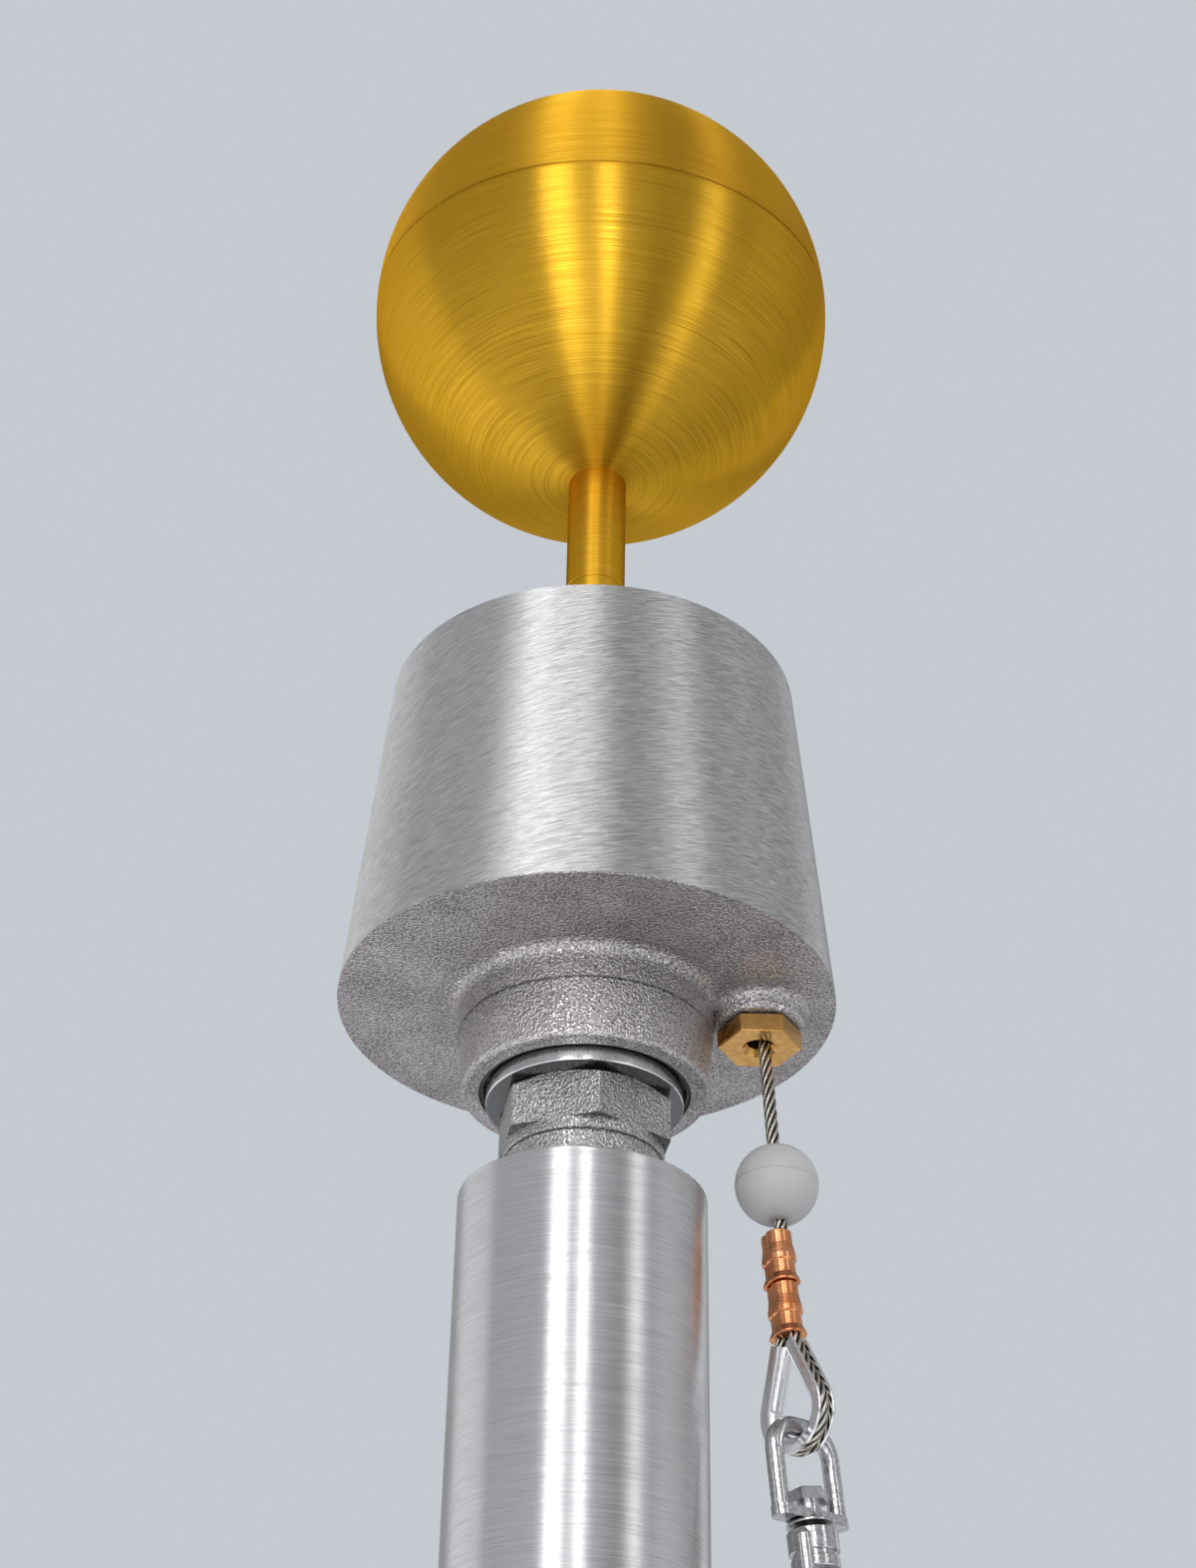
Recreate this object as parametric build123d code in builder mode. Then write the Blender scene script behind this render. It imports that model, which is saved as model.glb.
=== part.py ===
from build123d import *
import math
import os

os.makedirs("parts", exist_ok=True)

# Head of a tall flagpole: a stub of the pole's top, a cast truck that turns with the
# wind, a gilt ball on a stem, and the wire halyard that hangs from the truck with its
# swivel snap. Millimetres, +Z up, origin at the centre of the stub's cut lower face.

# General fits
fit_gap = 0.1  # radial gap between pieces that are pressed or screwed together
run_gap = 0.08  # radial gap of a piece that turns in another

# Pole
pole_length = 500.0
pole_radius = 44.45
pole_wall = 4.8
pole_edge = 0.8
plug_length = 60.0
plug_edge = 1.0
plug_seat_step = 1.0
plug_seat_relief = 2.0

# Spindle: a casting with a round collar, a hexagon and a turned journal
spindle_bore = 12.0
shank_radius = 19.0
shank_length = 56.0
shank_edge = 1.0
collar_radius = 29.2
collar_waist = 27.8
collar_height = 19.5
collar_lip = 4.5
collar_root = 0.8
collar_edge = 1.0
hex_flats = 57.6
hex_height = 18.5
hex_turn = 39.0
hex_chamfer_angle = 30.0
hex_edge = 0.8
hex_core_radius = 26.8
journal_radius = 22.0
thread_radius = 20.0
thread_edge = 2.0
thread_reach = 3.0
nut_flats = 50.0
nut_height = 14.0

# Bearings and seal in the truck's neck
ring_radius = 36.1
ring_height = 6.0
ring_edge = 0.6
bush_radius = 30.0
bush_flange_radius = 35.0
bush_flange_height = 4.5
bush_length = 22.0
seal_outer_radius = 38.5
seal_inner_radius = 36.9
seal_height = 6.0
seal_edge = 0.5

# Truck: one casting with a tapered drum, a flat underside, a neck and a boss
neck_height = 36.6
neck_overlap = 1.4
neck_bottom_radius = 45.4
neck_parting_radius = 46.7
neck_top_radius = 47.7
neck_parting_drop = 13.4
neck_parting_step = 0.5
neck_root_radius = 5.5
neck_edge = 2.2
mouth_radius = 38.6
mouth_depth = 6.9
mouth_edge = 0.6
drum_height = 139.3
drum_bottom_radius = 92.8
drum_top_radius = 80.5
drum_wall = 8.0
floor_thickness = 10.0
hub_radius = 42.0
hub_height = 36.0
hub_edge = 1.0
core_radius = 6.0
lip_width = 11.0
lip_height = 6.0
cover_thickness = 6.0
cover_inset = 5.0
cover_boss_radius = 21.0
cover_boss_height = 5.0
cover_boss_edge = 1.5
cover_screw_count = 6
cover_screw_radius = 2.5
cover_screw_head = 4.8
cover_screw_length = 12.0
screw_circle = 69.0

# Brass outlet for the halyard, screwed into a boss under the drum
outlet_offset = 64.3
boss_bottom_radius = 16.6
boss_top_radius = 18.2
boss_height = 7.0
boss_edge = 3.0
boss_root_radius = 4.5
boss_root_sink = 1.0
gasket_thickness = 0.8
outlet_flats = 27.0
outlet_hex_height = 7.0
outlet_hex_chamfer = 0.4
outlet_thread_radius = 8.0
outlet_thread_length = 22.0
outlet_hole_radius = 4.5
outlet_mouth_radius = 6.7

# Finial: rod, stem and a ball of two spun halves
rod_radius = 12.3
rod_height = 58.0
rod_thread_radius = 8.0
rod_thread_edge = 1.0
rod_spigot_radius = 6.0
rod_spigot_length = 20.0
spigot_play = 1.0
stem_height = 59.45
joint_edge = 0.6
ball_radius = 101.6
ball_wall = 2.0
ball_seam_rise = -2.5
ball_seam_gap = 0.4
ball_seam_edge = 0.5
ball_lap_height = 8.0
ball_lap_gap = 0.1
socket_wall = 5.0
socket_depth = 24.0

# Halyard: wire rope from the outlet to the eye
rope_radius = 2.4
rope_exit_shift = 1.9
rope_inside = 26.0
rope_bend_radius = 60.0
rope_crown_radius = 12.0
stop_radius = 15.0
stop_height = 508.5
stop_bore = 2.7
eye_origin = (68.5, 1.8, 490.2)
eye_lean = 5.0
eye_turn = -51.0
tail_inset = 1.0

# Two crimped sleeves, one above the other: a full lobe round the rope and a lesser
# lobe round its tail
rope_offset = 2.7
full_lobe_offset = 1.2
full_lobe_radius = 4.65
tail_lobe_radius = 3.4
sleeve_swelling = 0.7
sleeve_lip = 1.2
sleeve_length = 19.4
sleeve_gap = 0.2
sleeve_bore = 2.5
sleeve_round = 0.5
swelling_round = 1.4
upper_band_end = 0.26
swelling_full = 0.48
swelling_end = 0.57
lower_band_start = 0.6
lower_band_end = 0.84
lip_start = 0.96

# Thimble: a grooved teardrop that the rope lies in
thimble_bottom = 80.6
thimble_rope_radius = 12.0
thimble_crown_drop = 2.2
thimble_tip_gap = 0.6
thimble_sheet = 1.1
thimble_lip_reach = 2.6
thimble_lip_flare = 0.2
thimble_lip_round = 0.5

# Swivel bow: a round bar bent to a stirrup, its flat base with a boss that flares to a rim
bow_bar_radius = 3.05
bow_spacing = 26.0
bow_play = 0.2
bow_base_drop = 100.8
bow_base_thickness = 3.6
bow_base_width = 7.4
bow_corner_radius = 10.0
bow_base_overhang = 6.5
bow_boss_radius = 4.2
bow_boss_height = 2.8
bow_rim_radius = 8.3
bow_rim_height = 0.9
bow_rim_drop = 105.8
bow_rim_edge = 0.3
bow_flare_radius = 3.6

# Swivel pin
pin_radius = 2.6
pin_head_flats = 12.0
pin_head_height = 4.3
pin_head_edge = 0.5

# Snap hook: a collar with a groove, a round spine and the hook
snap_turn = 60.0
snap_gap = 0.5
snap_neck_radius = 5.6
snap_shoulder_height = 1.5
snap_collar_radius = 8.5
snap_collar_height = 9.0
snap_groove_depth = 1.0
snap_groove_height = 1.6
snap_ring_radius = 8.1
snap_ring_height = 3.8
snap_body_round = 0.5
spine_radius = 3.0
spine_offset = 7.2
spine_root_drop = 4.6
spine_straight_drop = 16.4
spine_bend_drop = 24.4
spine_bend_radius = 14.0
spine_end_drop = 42.4
hook_radius = 9.4
hook_nose_rise = 6.5

# Gate, its pin and the ears that hold it
ear_width = 10.0
ear_radius = 3.6
gate_slot = 4.6
gate_pivot_offset = 5.4
gate_pivot_drop = 16.8
gate_head_radius = 3.1
gate_tip_radius = 2.1
gate_thickness = 4.0
gate_corner = 1.0
gate_edge = 0.6
gate_nose_gap = 0.4
gate_pin_radius = 1.2
gate_pin_play = 0.15

# Heights that follow from the sizes above
pole_top = pole_length
collar_top = pole_top + collar_height
hex_top = collar_top + hex_height
ring_top = hex_top + ring_height
neck_bottom = ring_top - neck_overlap
underside = neck_bottom + neck_height
parting_height = underside - neck_parting_drop
shoulder = neck_bottom + mouth_depth
floor_top = underside + floor_thickness
hub_top = floor_top + hub_height
drum_top = underside + drum_height
ledge_height = drum_top - cover_thickness
boss_bottom = underside - boss_height
outlet_hex_top = boss_bottom - gasket_thickness
outlet_bottom = outlet_hex_top - outlet_hex_height
rod_bottom = drum_top + cover_boss_height
rod_top = rod_bottom + rod_height
ball_height = rod_top + stem_height + math.sqrt(ball_radius**2 - rod_radius**2)
pole_bore = pole_radius - pole_wall
drum_slope = (drum_bottom_radius - drum_top_radius) / drum_height


def drum_inside(height):
    """Radius of the drum's inner wall at a height."""
    return drum_bottom_radius - drum_wall - drum_slope * (height - underside)


# Directions of the halyard's lower end, which leans out from the pole
lean = math.radians(eye_lean)
lean_out = Vector(math.cos(lean), 0, math.sin(lean))
lean_across = Vector(0, 1, 0)
eye_axis = Vector(-math.sin(lean), 0, math.cos(lean))


def turned_out(angle):
    """Direction across the leaning halyard, turned about it by an angle in degrees."""
    return lean_out * math.cos(math.radians(angle)) + lean_across * math.sin(math.radians(angle))


eye_side = turned_out(eye_turn)
eye_normal = turned_out(eye_turn + 90)


def eye_point(along, drop, across=0.0):
    """Point in the eye's frame: along its plane, down the halyard, across the plane."""
    return Vector(*eye_origin) + eye_side * along - eye_axis * drop + eye_normal * across


# Pole tube, with its top bored wider for the plug
with BuildPart() as pole_tube:
    with BuildSketch():
        Circle(pole_radius)
        Circle(pole_bore, mode=Mode.SUBTRACT)
    extrude(amount=pole_length)
    with BuildSketch(Plane.XY.offset(pole_top)):
        Circle(pole_bore + plug_seat_step)
    extrude(amount=-plug_length - plug_seat_relief, mode=Mode.SUBTRACT)
    top_edges = pole_tube.edges().filter_by(GeomType.CIRCLE).group_by(Axis.Z)[-1]
    fillet(top_edges.sort_by(SortBy.RADIUS)[-1], radius=pole_edge)

# Plug that closes the tube's top and takes the spindle's shank
with BuildPart() as pole_plug:
    with BuildSketch(Plane.XY.offset(pole_top - plug_length)):
        Circle(pole_bore + plug_seat_step - fit_gap)
        Circle(shank_radius + fit_gap, mode=Mode.SUBTRACT)
    extrude(amount=plug_length)
    plug_edges = pole_plug.edges().filter_by(GeomType.CIRCLE).group_by(Axis.Z)[0]
    chamfer(plug_edges.sort_by(SortBy.RADIUS)[-1], length=plug_edge)

# Spindle: shank, collar with a lip, chamfered hexagon, journal and thread
hex_corner = hex_flats / 2 / math.cos(math.radians(30))
journal_top = hub_top + bush_flange_height + run_gap
spindle_top = journal_top + nut_height + thread_reach
with BuildPart() as spindle:
    with BuildSketch(Plane.XY.offset(collar_top)) as hexagon:
        RegularPolygon(radius=hex_flats / 2, side_count=6, major_radius=False, rotation=hex_turn)
        fillet(hexagon.vertices(), radius=hex_edge)
    extrude(amount=hex_height)
    with BuildSketch(Plane.XZ):
        with BuildLine():
            chamfer_rise = (hex_corner - hex_flats / 2) * math.tan(math.radians(hex_chamfer_angle))
            Polyline(
                (0, collar_top),
                (hex_corner, collar_top),
                (hex_corner, hex_top - chamfer_rise),
                (hex_flats / 2, hex_top),
                (0, hex_top),
                close=True,
            )
        make_face()
    revolve(axis=Axis.Z, mode=Mode.INTERSECT)
    with BuildSketch(Plane.XZ):
        with BuildLine():
            FilletPolyline(
                (spindle_bore, pole_top - shank_length),
                (shank_radius, pole_top - shank_length),
                (shank_radius, pole_top),
                (collar_waist, pole_top),
                (collar_waist, collar_top - collar_lip),
                (collar_radius, collar_top - collar_lip),
                (collar_radius, collar_top),
                (hex_core_radius, collar_top),
                (hex_core_radius, hex_top),
                (journal_radius, hex_top),
                (journal_radius, journal_top),
                (thread_radius, journal_top),
                (thread_radius, spindle_top),
                (spindle_bore, spindle_top),
                radius=[
                    0,
                    shank_edge,
                    0,
                    0,
                    collar_root,
                    collar_edge,
                    0,
                    0,
                    0,
                    0,
                    0,
                    0,
                    thread_edge,
                    0,
                ],
                close=True,
            )
        make_face()
    revolve(axis=Axis.Z)
    with BuildSketch(Plane.XY.offset(pole_top - shank_length)):
        Circle(spindle_bore)
    extrude(amount=spindle_top - pole_top + shank_length, mode=Mode.SUBTRACT)

# Thrust ring, bright turned, that the truck rides on
with BuildPart() as thrust_ring:
    with BuildSketch(Plane.XZ):
        with BuildLine():
            FilletPolyline(
                (journal_radius + fit_gap, hex_top),
                (ring_radius, hex_top),
                (ring_radius, ring_top),
                (journal_radius + fit_gap, ring_top),
                radius=[0, ring_edge, ring_edge, 0],
                close=True,
            )
        make_face()
    revolve(axis=Axis.Z)

# Retaining nut on the spindle's thread, inside the drum
with BuildPart() as spindle_nut:
    with BuildSketch(Plane.XY.offset(journal_top)):
        RegularPolygon(radius=nut_flats / 2, side_count=6, major_radius=False)
        Circle(thread_radius + fit_gap, mode=Mode.SUBTRACT)
    extrude(amount=nut_height)

# Flanged bearings, pressed into the neck and the hub
with BuildPart() as lower_bearing:
    with BuildSketch(Plane.XZ):
        with BuildLine():
            Polyline(
                (journal_radius + run_gap, ring_top),
                (bush_flange_radius, ring_top),
                (bush_flange_radius, shoulder),
                (bush_radius, shoulder),
                (bush_radius, shoulder + bush_length),
                (journal_radius + run_gap, shoulder + bush_length),
                close=True,
            )
        make_face()
    revolve(axis=Axis.Z)

with BuildPart() as upper_bearing:
    with BuildSketch(Plane.XZ):
        with BuildLine():
            Polyline(
                (journal_radius + run_gap, hub_top - bush_length),
                (bush_radius, hub_top - bush_length),
                (bush_radius, hub_top),
                (bush_flange_radius, hub_top),
                (bush_flange_radius, hub_top + bush_flange_height),
                (journal_radius + run_gap, hub_top + bush_flange_height),
                close=True,
            )
        make_face()
    revolve(axis=Axis.Z)

# Seal ring in the neck's mouth, round the thrust ring
with BuildPart() as neck_seal:
    with BuildSketch(Plane.XY.offset(shoulder - seal_height)):
        Circle(seal_outer_radius)
        Circle(seal_inner_radius, mode=Mode.SUBTRACT)
    extrude(amount=seal_height)
    fillet(neck_seal.edges().group_by(Axis.Z)[0], radius=seal_edge)

# Truck housing
with BuildPart() as truck_housing:
    with BuildSketch(Plane.XZ):
        with BuildLine():
            FilletPolyline(
                (mouth_radius, neck_bottom),
                (neck_bottom_radius, neck_bottom),
                (neck_parting_radius, parting_height),
                (neck_parting_radius + neck_parting_step, parting_height),
                (neck_top_radius, underside),
                (drum_bottom_radius, underside),
                (drum_top_radius, drum_top),
                (drum_top_radius - cover_inset, drum_top),
                (drum_top_radius - cover_inset, ledge_height),
                (drum_top_radius - drum_wall - lip_width, ledge_height),
                (drum_top_radius - drum_wall - lip_width, ledge_height - lip_height),
                (drum_inside(ledge_height - 2 * lip_height), ledge_height - 2 * lip_height),
                (drum_inside(floor_top), floor_top),
                (hub_radius, floor_top),
                (hub_radius, hub_top),
                (bush_radius + fit_gap, hub_top),
                (bush_radius + fit_gap, shoulder),
                (mouth_radius, shoulder),
                radius=[
                    mouth_edge,
                    neck_edge,
                    0,
                    0,
                    neck_root_radius,
                    0,
                    0,
                    0,
                    0,
                    0,
                    0,
                    core_radius,
                    core_radius,
                    core_radius,
                    hub_edge,
                    0,
                    0,
                    0,
                ],
                close=True,
            )
        make_face()
    revolve(axis=Axis.Z)
    with BuildSketch(Plane.XZ.shift_origin((outlet_offset, 0, 0))):
        with BuildLine():
            FilletPolyline(
                (0, boss_bottom),
                (boss_bottom_radius, boss_bottom),
                (boss_top_radius, underside),
                (boss_top_radius + boss_root_radius * 2, underside),
                (boss_top_radius + boss_root_radius * 2, underside + boss_root_sink),
                (0, underside + boss_root_sink),
                radius=[0, boss_edge, boss_root_radius, 0, 0, 0],
                close=True,
            )
        make_face()
    revolve(axis=Axis((outlet_offset, 0, 0), (0, 0, 1)))
    with BuildSketch(Plane.XY.offset(boss_bottom)):
        with Locations((outlet_offset, 0)):
            Circle(outlet_thread_radius + fit_gap)
    extrude(amount=floor_top - boss_bottom + core_radius, mode=Mode.SUBTRACT)
    with BuildSketch(Plane.XY.offset(ledge_height)):
        with PolarLocations(screw_circle, cover_screw_count):
            Circle(cover_screw_radius + fit_gap)
    extrude(amount=-cover_screw_length, mode=Mode.SUBTRACT)

# Cover plate let into the drum's top, with a low boss for the finial's rod
with BuildPart() as top_cover:
    with BuildSketch(Plane.XY.offset(ledge_height)):
        Circle(drum_top_radius - cover_inset - fit_gap)
    extrude(amount=cover_thickness)
    with BuildSketch(Plane.XY.offset(drum_top)):
        Circle(cover_boss_radius)
    extrude(amount=cover_boss_height)
    boss_edges = top_cover.edges().filter_by(GeomType.CIRCLE).group_by(Axis.Z)[-1]
    fillet(boss_edges, radius=cover_boss_edge)
    with BuildSketch(Plane.XY.offset(ledge_height)):
        Circle(rod_thread_radius + fit_gap)
    extrude(amount=cover_thickness + cover_boss_height, mode=Mode.SUBTRACT)
    with Locations(Plane.XY.offset(drum_top)):
        with PolarLocations(screw_circle, cover_screw_count):
            CounterSinkHole(
                radius=cover_screw_radius + fit_gap,
                counter_sink_radius=cover_screw_head + fit_gap,
                counter_sink_angle=90,
                depth=cover_thickness,
            )

with BuildPart() as cover_screws:
    with BuildSketch(Plane.XZ.shift_origin((screw_circle, 0, 0))):
        with BuildLine():
            Polyline(
                (0, drum_top),
                (cover_screw_head, drum_top),
                (cover_screw_radius, drum_top - cover_screw_head + cover_screw_radius),
                (cover_screw_radius, drum_top - cover_screw_length),
                (0, drum_top - cover_screw_length),
                close=True,
            )
        make_face()
    one_screw = revolve(axis=Axis((screw_circle, 0, 0), (0, 0, 1)), mode=Mode.PRIVATE)
    for turn in range(cover_screw_count):
        add(one_screw.rotate(Axis.Z, turn * 360 / cover_screw_count))

# Brass outlet and its gasket
with BuildPart() as outlet_gasket:
    with BuildSketch(Plane.XY.offset(outlet_hex_top)):
        with Locations((outlet_offset, 0)):
            Circle(outlet_flats / 2)
            Circle(outlet_thread_radius + fit_gap, mode=Mode.SUBTRACT)
    extrude(amount=gasket_thickness)

with BuildPart() as halyard_outlet:
    with BuildSketch(Plane.XY.offset(outlet_bottom)):
        with Locations((outlet_offset, 0)):
            RegularPolygon(radius=outlet_flats / 2, side_count=6, major_radius=False)
    extrude(amount=outlet_hex_height)
    chamfer(halyard_outlet.edges().group_by(Axis.Z)[0], length=outlet_hex_chamfer)
    with BuildSketch(Plane.XY.offset(outlet_hex_top)):
        with Locations((outlet_offset, 0)):
            Circle(outlet_thread_radius)
    extrude(amount=outlet_thread_length)
    with Locations(Plane((outlet_offset, 0, outlet_bottom), z_dir=(0, 0, -1))):
        CounterSinkHole(
            radius=outlet_hole_radius,
            counter_sink_radius=outlet_mouth_radius,
            counter_sink_angle=90,
        )

# Finial rod and stem, screwed end to end
with BuildPart() as finial_rod:
    with BuildSketch(Plane.XZ):
        with BuildLine():
            FilletPolyline(
                (0, ledge_height),
                (rod_thread_radius, ledge_height),
                (rod_thread_radius, rod_bottom),
                (rod_radius, rod_bottom),
                (rod_radius, rod_top),
                (rod_spigot_radius, rod_top),
                (rod_spigot_radius, rod_top + rod_spigot_length),
                (0, rod_top + rod_spigot_length),
                radius=[0, rod_thread_edge, 0, joint_edge, joint_edge, 0, rod_thread_edge, 0],
                close=True,
            )
        make_face()
    revolve(axis=Axis.Z)

socket_top = rod_top + stem_height + socket_depth
with BuildPart() as finial_stem:
    with BuildSketch(Plane.XZ):
        with BuildLine():
            FilletPolyline(
                (rod_spigot_radius + fit_gap, rod_top),
                (rod_radius, rod_top),
                (rod_radius, socket_top),
                (0, socket_top),
                (0, rod_top + rod_spigot_length + spigot_play),
                (rod_spigot_radius + fit_gap, rod_top + rod_spigot_length + spigot_play),
                radius=[0, joint_edge, rod_thread_edge, 0, 0, 0],
                close=True,
            )
        make_face()
    revolve(axis=Axis.Z)

# Ball: two spun halves, the lower one with a socket for the stem and a lap at the seam
seam_height = ball_height + ball_seam_rise
lap_rise = ball_seam_rise + ball_lap_height
lap_radius = math.sqrt((ball_radius - ball_wall) ** 2 - lap_rise**2) - ball_lap_gap
with BuildPart() as ball_lower:
    with Locations((0, 0, ball_height)):
        Sphere(ball_radius)
    with BuildSketch(Plane.XY.offset(seam_height)):
        Circle(2 * ball_radius)
    extrude(amount=2 * ball_radius, mode=Mode.SUBTRACT)
    seam_edge = ball_lower.edges().filter_by(GeomType.CIRCLE).group_by(Axis.Z)[-1]
    fillet(seam_edge, radius=ball_seam_edge)
    with BuildSketch(Plane.XY.offset(seam_height)):
        Circle(lap_radius)
    extrude(amount=ball_lap_height)
    with Locations((0, 0, ball_height)):
        Sphere(ball_radius - 2 * ball_wall, mode=Mode.SUBTRACT)
    with BuildSketch(Plane.XY.offset(socket_top + socket_wall)):
        Circle(rod_radius + socket_wall)
    extrude(until=Until.NEXT, target=ball_lower.part, dir=(0, 0, -1))
    with BuildSketch(Plane.XY.offset(socket_top)):
        Circle(rod_radius + fit_gap)
    extrude(amount=-2 * socket_depth, mode=Mode.SUBTRACT)

with BuildPart() as ball_upper:
    with Locations((0, 0, ball_height)):
        Sphere(ball_radius)
    with BuildSketch(Plane.XY.offset(seam_height + ball_seam_gap)):
        Circle(2 * ball_radius)
    extrude(amount=-2 * ball_radius, mode=Mode.SUBTRACT)
    seam_edge = ball_upper.edges().filter_by(GeomType.CIRCLE).group_by(Axis.Z)[0]
    fillet(seam_edge, radius=ball_seam_edge)
    with Locations((0, 0, ball_height)):
        Sphere(ball_radius - ball_wall, mode=Mode.SUBTRACT)

# Halyard: out of the outlet, through the sleeves, round the thimble and back
barrel_top = eye_point(rope_offset, 0)
rope_exit = Vector(outlet_offset + rope_exit_shift, 0, outlet_bottom)
rope_down = (barrel_top - rope_exit).normalized()
rope_start = rope_exit - rope_down * rope_inside
sleeves_bottom = 2 * sleeve_length + sleeve_gap
eye_center_drop = thimble_bottom - thimble_rope_radius - rope_radius
crown_drop = sleeves_bottom + thimble_crown_drop
eye_height = eye_center_drop - crown_drop
eye_reach = math.hypot(eye_height, rope_offset)
leg_angle = math.asin(thimble_rope_radius / eye_reach) - math.atan(rope_offset / eye_height)
leg_length = eye_reach * math.sqrt(1 - (thimble_rope_radius / eye_reach) ** 2)


def loop_point(angle, radius):
    """Point of the eye's round part, at an angle from the thimble's plane outwards and up."""
    return eye_point(
        radius * math.cos(angle),
        eye_center_drop - radius * math.sin(angle),
    )


with BuildPart() as halyard_rope:
    with BuildLine() as rope_line:
        side_end = loop_point(leg_angle, thimble_rope_radius)
        other_end = loop_point(math.pi - leg_angle, thimble_rope_radius)
        FilletPolyline(
            rope_start,
            barrel_top,
            eye_point(rope_offset, crown_drop),
            side_end,
            radius=[rope_bend_radius, rope_crown_radius],
        )
        ThreePointArc(side_end, loop_point(-math.pi / 2, thimble_rope_radius), other_end)
        FilletPolyline(
            other_end,
            eye_point(-rope_offset, crown_drop),
            eye_point(-rope_offset, tail_inset),
            radius=[rope_crown_radius],
        )
    with BuildSketch(Plane(rope_line.wire() @ 0, z_dir=rope_line.wire() % 0)):
        Circle(rope_radius)
    sweep(path=rope_line.wire())

# Stop ball, threaded on the rope above the sleeves
stop_drop = (rope_exit.Z - stop_height) / -rope_down.Z
with BuildPart() as stop_ball:
    with Locations(Plane(rope_exit + rope_down * stop_drop, z_dir=rope_down)):
        Sphere(stop_radius)
        Cylinder(stop_bore, 3 * stop_radius, mode=Mode.SUBTRACT)


def lobe_profile(radius):
    """Outline of one lobe, from its axis: pressed bands, a swelling and a flared lip."""
    swollen = radius + sleeve_swelling
    lip = radius + sleeve_lip
    return [
        (0, 0),
        (radius, 0),
        (radius, -upper_band_end * sleeve_length),
        (swollen, -swelling_full * sleeve_length),
        (swollen, -swelling_end * sleeve_length),
        (radius, -lower_band_start * sleeve_length),
        (radius, -lower_band_end * sleeve_length),
        (lip, -lip_start * sleeve_length),
        (lip, -sleeve_length),
        (0, -sleeve_length),
    ]


lobe_rounds = [
    0,
    sleeve_round,
    swelling_round,
    swelling_round,
    sleeve_round,
    0,
    swelling_round,
    sleeve_round,
    sleeve_round,
    0,
]
sleeves = {}
for sleeve_name, sleeve_top in (
    ("upper_sleeve", 0.0),
    ("lower_sleeve", sleeve_length + sleeve_gap),
):
    with BuildPart() as sleeve:
        for lobe_offset, lobe_radius in (
            (full_lobe_offset, full_lobe_radius),
            (-rope_offset, tail_lobe_radius),
        ):
            lobe_base = eye_point(lobe_offset, sleeve_top)
            with BuildSketch(Plane(lobe_base, x_dir=eye_side, z_dir=-eye_normal)):
                with BuildLine():
                    FilletPolyline(
                        *lobe_profile(lobe_radius),
                        radius=lobe_rounds,
                        close=True,
                    )
                make_face()
            revolve(axis=Axis(lobe_base, eye_axis))
        for side in (-1, 1):
            bore_top = eye_point(side * rope_offset, sleeve_top)
            with BuildSketch(Plane(bore_top, x_dir=eye_side, z_dir=eye_axis)):
                Circle(sleeve_bore)
            extrude(amount=-sleeve_length, mode=Mode.SUBTRACT)
    sleeves[sleeve_name] = sleeve

# Thimble: its crescent section turned round the eye, then straight up both legs
groove_radius = rope_radius + fit_gap
back_radius = groove_radius + thimble_sheet
inner_radius = thimble_rope_radius - back_radius
lip_radius = thimble_rope_radius + thimble_lip_reach
eye_center = eye_point(0, eye_center_drop)
crescent = [
    (thimble_rope_radius, back_radius),
    (lip_radius, back_radius + thimble_lip_flare),
    (lip_radius, groove_radius + thimble_lip_flare),
    (thimble_rope_radius, groove_radius),
]
crescent_back = [
    (thimble_rope_radius, -back_radius),
    (inner_radius, 0),
    (thimble_rope_radius, back_radius),
]
crescent_groove = [
    (thimble_rope_radius, groove_radius),
    (thimble_rope_radius - groove_radius, 0),
    (thimble_rope_radius, -groove_radius),
]
with BuildPart() as thimble:
    for side in (-1, 1):
        outward = eye_side * side * math.cos(leg_angle) + eye_axis * math.sin(leg_angle)
        upward = eye_axis * math.cos(leg_angle) - eye_side * side * math.sin(leg_angle)
        section_plane = Plane(eye_center, x_dir=outward, z_dir=outward.cross(eye_normal))
        with BuildSketch(section_plane) as leg_section:
            with BuildLine():
                Polyline(*crescent)
                ThreePointArc(*crescent_groove)
                Polyline(*[(x, -y) for x, y in reversed(crescent)])
                ThreePointArc(*crescent_back)
            make_face()
            fillet(leg_section.vertices().group_by(Axis.X)[-1], radius=thimble_lip_round)
        extrude(amount=leg_length - thimble_tip_gap, dir=upward)
        if side == 1:
            revolve(
                leg_section.sketch,
                axis=Axis(eye_center, eye_normal),
                revolution_arc=180 + 2 * math.degrees(leg_angle),
            )
    with BuildSketch(Plane(rope_line.wire() @ 0, z_dir=rope_line.wire() % 0)):
        Circle(groove_radius)
    sweep(path=rope_line.wire(), mode=Mode.SUBTRACT)

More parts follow.
